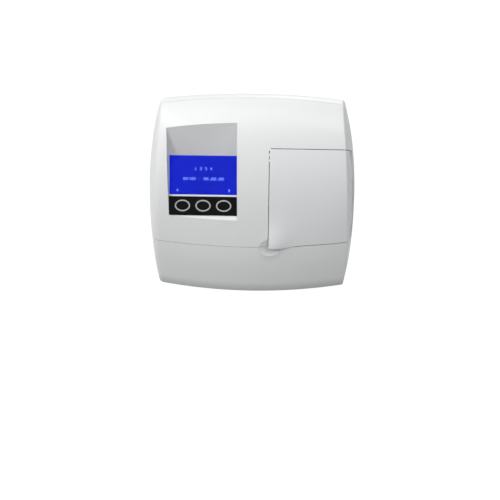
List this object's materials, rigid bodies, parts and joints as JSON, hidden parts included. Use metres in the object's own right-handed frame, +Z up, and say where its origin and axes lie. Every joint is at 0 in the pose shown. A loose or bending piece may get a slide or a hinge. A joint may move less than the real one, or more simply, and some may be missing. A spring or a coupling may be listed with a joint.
{
  "type": "glycated hemoglobin analyzer",
  "caption": "Bench-top blood test analyzer with crowned white casing, recessed display and keys, and a side-hinged cartridge door",
  "frame": {"origin": "centre of the bounding box at the underside of the rubber feet", "axes": "+Z up, -Y towards the user at the front, +X to the right as the user sees it"},
  "size_m": [0.2096, 0.1372, 0.1986],
  "materials": {
    "white_moulding": "fine satin moulded surface",
    "door_moulding": "fine satin moulded surface, a shade cooler than the covers",
    "grey_moulding": "satin",
    "dark_moulding": "fine matt",
    "rotor_moulding": "satin",
    "rocker_moulding": "gloss",
    "black_panel": "smooth film",
    "key_rubber": "smooth film over a dome",
    "ring_print": "satin",
    "clear_pane": "clear cover",
    "display_face": "blue backlit display",
    "circuit_board": "solder resist",
    "chip_resin": "moulding resin",
    "foam": "closed cell foam",
    "foot_rubber": "matt",
    "steel": "plated",
    "plated_magnet": "nickel plated",
    "motor_metal": "black end caps",
    "aluminium": "plain sheet",
    "socket_metal": "tin plated"
  },
  "bodies": {
    "casing": {"front_cover": "white_moulding", "base_cover": "white_moulding", "rear_housing": "white_moulding", "hinge_pin": "steel", "hinge_bracket": "steel", "display_window": "clear_pane", "display_module": "display_face", "display_board": "circuit_board", "keypad_panel": "black_panel", "key_rings": "ring_print", "keypad_board": "circuit_board", "tact_switches": "dark_moulding", "chamber_housing": "dark_moulding", "chamber_seal": "foam", "catch_plate": "steel", "drive_motor": "motor_metal", "motor_screws": "steel", "light_source": "dark_moulding", "light_detector": "dark_moulding", "heater_plate": "aluminium", "chamber_stand": "grey_moulding", "main_board": "circuit_board", "board_screws": "steel", "board_chips": "chip_resin", "board_headers": "dark_moulding", "coin_cell": "steel", "buzzer": "dark_moulding", "power_socket": "dark_moulding", "usb_socket": "socket_metal", "serial_port": "socket_metal", "rocker_frame": "dark_moulding", "rubber_feet": "foot_rubber", "case_screws": "steel"},
    "door": {"cartridge_door": "door_moulding", "door_liner": "grey_moulding", "door_magnet": "plated_magnet"},
    "key_left_body": {"key_left": "key_rubber"},
    "key_middle_body": {"key_middle": "key_rubber"},
    "key_right_body": {"key_right": "key_rubber"},
    "rotor": {"cartridge_rotor": "rotor_moulding", "rotor_shaft": "steel"},
    "rocker": {"power_rocker": "rocker_moulding"}
  },
  "joints": [
    {"name": "door_hinge", "type": "hinge", "parent": "casing", "child": "door", "pos_m": [0.094, -0.0351, 0.11122], "axis": [0, 0.1736, 0.9848], "range_deg": [0, 100]},
    {"name": "key_left_press", "type": "slide", "parent": "casing", "child": "key_left_body", "axis": [0, 0.866, -0.5], "range_m": [0, 0.0008], "stiffness_N_per_m": 300, "springref_m": -0.0005},
    {"name": "key_middle_press", "type": "slide", "parent": "casing", "child": "key_middle_body", "axis": [0, 0.866, -0.5], "range_m": [0, 0.0008], "stiffness_N_per_m": 300, "springref_m": -0.0005},
    {"name": "key_right_press", "type": "slide", "parent": "casing", "child": "key_right_body", "axis": [0, 0.866, -0.5], "range_m": [0, 0.0008], "stiffness_N_per_m": 300, "springref_m": -0.0005},
    {"name": "rotor_spin", "type": "hinge", "parent": "casing", "child": "rotor", "pos_m": [0.0535, -0.0157, 0.1078], "axis": [0, -0.9848, 0.1736], "continuous": true},
    {"name": "rocker_tilt", "type": "hinge", "parent": "casing", "child": "rocker", "pos_m": [-0.066, 0.0638, 0.044], "axis": [1, 0, 0], "range_deg": [-16, 0]}
  ]
}
